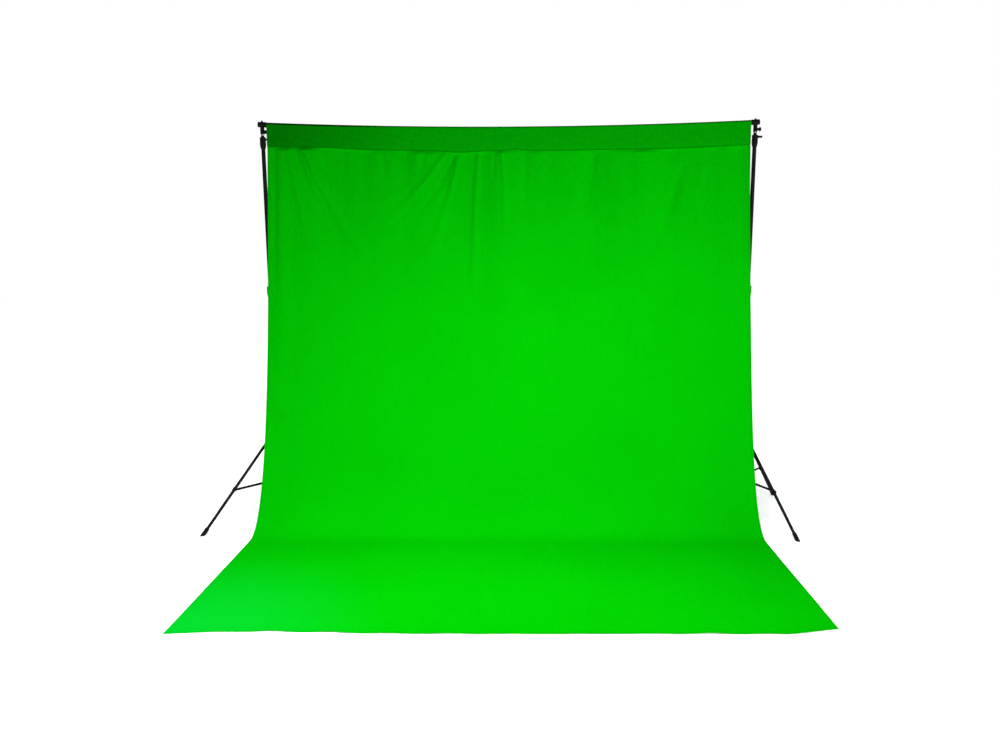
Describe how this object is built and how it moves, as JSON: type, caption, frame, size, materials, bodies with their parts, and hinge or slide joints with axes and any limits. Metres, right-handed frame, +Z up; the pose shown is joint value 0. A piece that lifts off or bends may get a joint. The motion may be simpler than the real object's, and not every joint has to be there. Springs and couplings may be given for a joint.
{
  "type": "background support system",
  "caption": "Two folding light stands carry a sectional crossbar from which a green cloth backdrop hangs and sweeps out over the floor.",
  "frame": {"origin": "on the floor, under the middle of the whole box", "axes": "+X along the crossbar to the right stand, -Y towards the cloth's front edge, +Z up"},
  "size_m": [3.6406, 2.3666, 2.486],
  "materials": {
    "black_tube": "satin",
    "black_casting": "matte",
    "black_handle": "satin",
    "black_rubber": "matte",
    "bright_steel": "polished",
    "green_cloth": "matte"
  },
  "bodies": {
    "crossbar": {"backdrop_cloth": "green_cloth", "bar_section_1": "black_tube", "bar_section_2": "black_tube", "bar_section_3": "black_tube", "bar_section_4": "black_tube"},
    "bar_button_1": {"bar_button_1": "bright_steel"},
    "bar_button_2": {"bar_button_2": "bright_steel"},
    "bar_button_3": {"bar_button_3": "bright_steel"},
    "left_bracket": {"left_bracket": "black_casting"},
    "left_top": {"left_top_tube": "black_tube", "left_spigot": "bright_steel"},
    "left_middle": {"left_middle_tube": "black_tube", "left_upper_collar": "black_casting"},
    "left_base": {"left_base_tube": "black_tube", "left_lower_collar": "black_casting", "left_brace_hub": "black_casting"},
    "left_leg_hub": {"left_leg_hub": "black_casting"},
    "left_leg_1": {"left_leg_1": "black_tube", "left_foot_1": "black_rubber", "left_leg_clamp_1": "black_casting"},
    "left_brace_1": {"left_brace_1": "black_tube"},
    "left_leg_2": {"left_leg_2": "black_tube", "left_foot_2": "black_rubber", "left_leg_clamp_2": "black_casting"},
    "left_brace_2": {"left_brace_2": "black_tube"},
    "left_leg_3": {"left_leg_3": "black_tube", "left_foot_3": "black_rubber", "left_leg_clamp_3": "black_casting"},
    "left_brace_3": {"left_brace_3": "black_tube"},
    "left_bracket_knob": {"left_bracket_knob": "black_handle"},
    "left_bar_screw": {"left_bar_screw": "bright_steel"},
    "left_upper_collar_handle": {"left_upper_collar_handle": "black_handle"},
    "left_lower_collar_handle": {"left_lower_collar_handle": "black_handle"},
    "left_leg_hub_handle": {"left_leg_hub_handle": "black_handle"},
    "right_bracket": {"right_bracket": "black_casting"},
    "right_top": {"right_top_tube": "black_tube", "right_spigot": "bright_steel"},
    "right_middle": {"right_middle_tube": "black_tube", "right_upper_collar": "black_casting"},
    "right_base": {"right_base_tube": "black_tube", "right_lower_collar": "black_casting", "right_brace_hub": "black_casting"},
    "right_leg_hub": {"right_leg_hub": "black_casting"},
    "right_leg_1": {"right_leg_1": "black_tube", "right_foot_1": "black_rubber", "right_leg_clamp_1": "black_casting"},
    "right_brace_1": {"right_brace_1": "black_tube"},
    "right_leg_2": {"right_leg_2": "black_tube", "right_foot_2": "black_rubber", "right_leg_clamp_2": "black_casting"},
    "right_brace_2": {"right_brace_2": "black_tube"},
    "right_leg_3": {"right_leg_3": "black_tube", "right_foot_3": "black_rubber", "right_leg_clamp_3": "black_casting"},
    "right_brace_3": {"right_brace_3": "black_tube"},
    "right_bracket_knob": {"right_bracket_knob": "black_handle"},
    "right_bar_screw": {"right_bar_screw": "bright_steel"},
    "right_upper_collar_handle": {"right_upper_collar_handle": "black_handle"},
    "right_lower_collar_handle": {"right_lower_collar_handle": "black_handle"},
    "right_leg_hub_handle": {"right_leg_hub_handle": "black_handle"}
  },
  "joints": [
    {"name": "bar_button_1_press", "type": "slide", "parent": "crossbar", "child": "bar_button_1", "axis": [0, 0, 1], "range_m": [0, 0.003], "stiffness_N_per_m": 400},
    {"name": "bar_button_2_press", "type": "slide", "parent": "crossbar", "child": "bar_button_2", "axis": [0, 0, 1], "range_m": [0, 0.003], "stiffness_N_per_m": 400},
    {"name": "bar_button_3_press", "type": "slide", "parent": "crossbar", "child": "bar_button_3", "axis": [0, 0, 1], "range_m": [0, 0.003], "stiffness_N_per_m": 400},
    {"name": "left_bracket_slide", "type": "slide", "parent": "crossbar", "child": "left_bracket", "axis": [-0.9991, 0, 0.0433], "range_m": [0, 0.015]},
    {"name": "left_stand_swivel", "type": "hinge", "parent": "left_bracket", "child": "left_top", "pos_m": [-1.52362, 0.6367, 2.40002], "axis": [-0.0272, 0, 0.9996], "range_deg": [-6, 6]},
    {"name": "left_top_extend", "type": "slide", "parent": "left_top", "child": "left_middle", "axis": [0.0272, 0, -0.9996], "range_m": [0, 0.94]},
    {"name": "left_mast_slide", "type": "slide", "parent": "left_middle", "child": "left_base", "axis": [0.0272, 0, -0.9996], "range_m": [-0.84, 0.2]},
    {"name": "left_fold", "type": "slide", "parent": "left_base", "child": "left_leg_hub", "axis": [-0.0272, 0, 0.9996], "range_m": [0, 0.43104]},
    {"name": "left_leg_1_hinge", "type": "hinge", "parent": "left_leg_hub", "child": "left_leg_1", "pos_m": [-1.49249, 0.61031, 0.52926], "axis": [0.7994, -0.6004, 0.0218], "range_deg": [0, 46.38]},
    {"name": "left_brace_1_hinge", "type": "hinge", "parent": "left_base", "child": "left_brace_1", "pos_m": [-1.48432, 0.61031, 0.22937], "axis": [-0.7994, 0.6004, -0.0218], "range_deg": [0, 89.01]},
    {"name": "left_leg_2_hinge", "type": "hinge", "parent": "left_leg_hub", "child": "left_leg_2", "pos_m": [-1.48562, 0.66705, 0.52945], "axis": [-0.9195, -0.3923, -0.025], "range_deg": [0, 46.03]},
    {"name": "left_brace_2_hinge", "type": "hinge", "parent": "left_base", "child": "left_brace_2", "pos_m": [-1.47746, 0.66705, 0.22956], "axis": [0.9195, 0.3923, 0.025], "range_deg": [0, 89.35]},
    {"name": "left_leg_3_hinge", "type": "hinge", "parent": "left_leg_hub", "child": "left_leg_3", "pos_m": [-1.43993, 0.63273, 0.5307], "axis": [0.1201, 0.9928, 0.0033], "range_deg": [0, 43.75]},
    {"name": "left_brace_3_hinge", "type": "hinge", "parent": "left_base", "child": "left_brace_3", "pos_m": [-1.43176, 0.63273, 0.23081], "axis": [-0.1201, -0.9928, -0.0033], "range_deg": [0, 91.65]},
    {"name": "left_bracket_knob_turn", "type": "hinge", "parent": "left_bracket", "child": "left_bracket_knob", "pos_m": [-1.52411, 0.6367, 2.41802], "axis": [0.3419, 0.9397, 0.0093], "range_deg": [0, 360]},
    {"name": "left_bar_screw_turn", "type": "hinge", "parent": "left_bracket", "child": "left_bar_screw", "pos_m": [-1.52525, 0.6367, 2.46], "axis": [-0.0272, 0, 0.9996], "range_deg": [0, 360]},
    {"name": "left_upper_collar_handle_turn", "type": "hinge", "parent": "left_middle", "child": "left_upper_collar_handle", "pos_m": [-1.52286, 0.6367, 2.37212], "axis": [0.3419, 0.9397, 0.0093], "range_deg": [0, 360]},
    {"name": "left_lower_collar_handle_turn", "type": "hinge", "parent": "left_base", "child": "left_lower_collar_handle", "pos_m": [-1.49757, 0.6367, 1.44346], "axis": [-0.2587, 0.9659, -0.007], "range_deg": [0, 360]},
    {"name": "left_leg_hub_handle_turn", "type": "hinge", "parent": "left_leg_hub", "child": "left_leg_hub_handle", "pos_m": [-1.47334, 0.6367, 0.5538], "axis": [0.6002, 0.7997, 0.0163], "range_deg": [0, 360]},
    {"name": "right_bracket_slide", "type": "slide", "parent": "crossbar", "child": "right_bracket", "axis": [0.9991, 0, 0.0433], "range_m": [0, 0.015]},
    {"name": "right_stand_swivel", "type": "hinge", "parent": "right_bracket", "child": "right_top", "pos_m": [1.52111, 0.6367, 2.40002], "axis": [0.0272, 0, 0.9996], "range_deg": [-6, 6]},
    {"name": "right_top_extend", "type": "slide", "parent": "right_top", "child": "right_middle", "axis": [-0.0272, 0, -0.9996], "range_m": [0, 0.94]},
    {"name": "right_mast_slide", "type": "slide", "parent": "right_middle", "child": "right_base", "axis": [-0.0272, 0, -0.9996], "range_m": [-0.84, 0.2]},
    {"name": "right_fold", "type": "slide", "parent": "right_base", "child": "right_leg_hub", "axis": [0.0272, 0, 0.9996], "range_m": [0, 0.43104]},
    {"name": "right_leg_1_hinge", "type": "hinge", "parent": "right_leg_hub", "child": "right_leg_1", "pos_m": [1.48296, 0.60628, 0.52946], "axis": [0.9215, 0.3875, -0.0251], "range_deg": [0, 46.02]},
    {"name": "right_brace_1_hinge", "type": "hinge", "parent": "right_base", "child": "right_brace_1", "pos_m": [1.47479, 0.60628, 0.22957], "axis": [-0.9215, -0.3875, 0.0251], "range_deg": [0, 89.36]},
    {"name": "right_leg_2_hinge", "type": "hinge", "parent": "right_leg_hub", "child": "right_leg_2", "pos_m": [1.49012, 0.66298, 0.52926], "axis": [-0.7962, 0.6046, 0.0217], "range_deg": [0, 46.38]},
    {"name": "right_brace_2_hinge", "type": "hinge", "parent": "right_base", "child": "right_brace_2", "pos_m": [1.48195, 0.66298, 0.22937], "axis": [0.7962, -0.6046, -0.0217], "range_deg": [0, 89]},
    {"name": "right_leg_3_hinge", "type": "hinge", "parent": "right_leg_hub", "child": "right_leg_3", "pos_m": [1.43745, 0.64083, 0.5307], "axis": [-0.1253, -0.9921, 0.0034], "range_deg": [0, 43.75]},
    {"name": "right_brace_3_hinge", "type": "hinge", "parent": "right_base", "child": "right_brace_3", "pos_m": [1.42928, 0.64083, 0.23081], "axis": [0.1253, 0.9921, -0.0034], "range_deg": [0, 91.65]},
    {"name": "right_bracket_knob_turn", "type": "hinge", "parent": "right_bracket", "child": "right_bracket_knob", "pos_m": [1.5216, 0.6367, 2.41802], "axis": [0.9996, 0, -0.0272], "range_deg": [0, 360]},
    {"name": "right_bar_screw_turn", "type": "hinge", "parent": "right_bracket", "child": "right_bar_screw", "pos_m": [1.52275, 0.6367, 2.46], "axis": [0.0272, 0, 0.9996], "range_deg": [0, 360]},
    {"name": "right_upper_collar_handle_turn", "type": "hinge", "parent": "right_middle", "child": "right_upper_collar_handle", "pos_m": [1.52035, 0.6367, 2.37212], "axis": [0.9996, 0, -0.0272], "range_deg": [0, 360]},
    {"name": "right_lower_collar_handle_turn", "type": "hinge", "parent": "right_base", "child": "right_lower_collar_handle", "pos_m": [1.49506, 0.6367, 1.44346], "axis": [0.2587, 0.9659, -0.007], "range_deg": [0, 360]},
    {"name": "right_leg_hub_handle_turn", "type": "hinge", "parent": "right_leg_hub", "child": "right_leg_hub_handle", "pos_m": [1.47083, 0.6367, 0.5538], "axis": [-0.3874, 0.9219, 0.0106], "range_deg": [0, 360]}
  ],
  "couplings": [
    {"joint": "left_leg_1_hinge", "follows": "left_fold", "rad_per_m": 1.8779},
    {"joint": "left_brace_1_hinge", "follows": "left_fold", "rad_per_m": 3.6039},
    {"joint": "left_leg_2_hinge", "follows": "left_fold", "rad_per_m": 1.8637},
    {"joint": "left_brace_2_hinge", "follows": "left_fold", "rad_per_m": 3.6179},
    {"joint": "left_leg_3_hinge", "follows": "left_fold", "rad_per_m": 1.7716},
    {"joint": "left_brace_3_hinge", "follows": "left_fold", "rad_per_m": 3.7108},
    {"joint": "right_leg_1_hinge", "follows": "right_fold", "rad_per_m": 1.8634},
    {"joint": "right_brace_1_hinge", "follows": "right_fold", "rad_per_m": 3.6182},
    {"joint": "right_leg_2_hinge", "follows": "right_fold", "rad_per_m": 1.8782},
    {"joint": "right_brace_2_hinge", "follows": "right_fold", "rad_per_m": 3.6037},
    {"joint": "right_leg_3_hinge", "follows": "right_fold", "rad_per_m": 1.7716},
    {"joint": "right_brace_3_hinge", "follows": "right_fold", "rad_per_m": 3.7108}
  ]
}
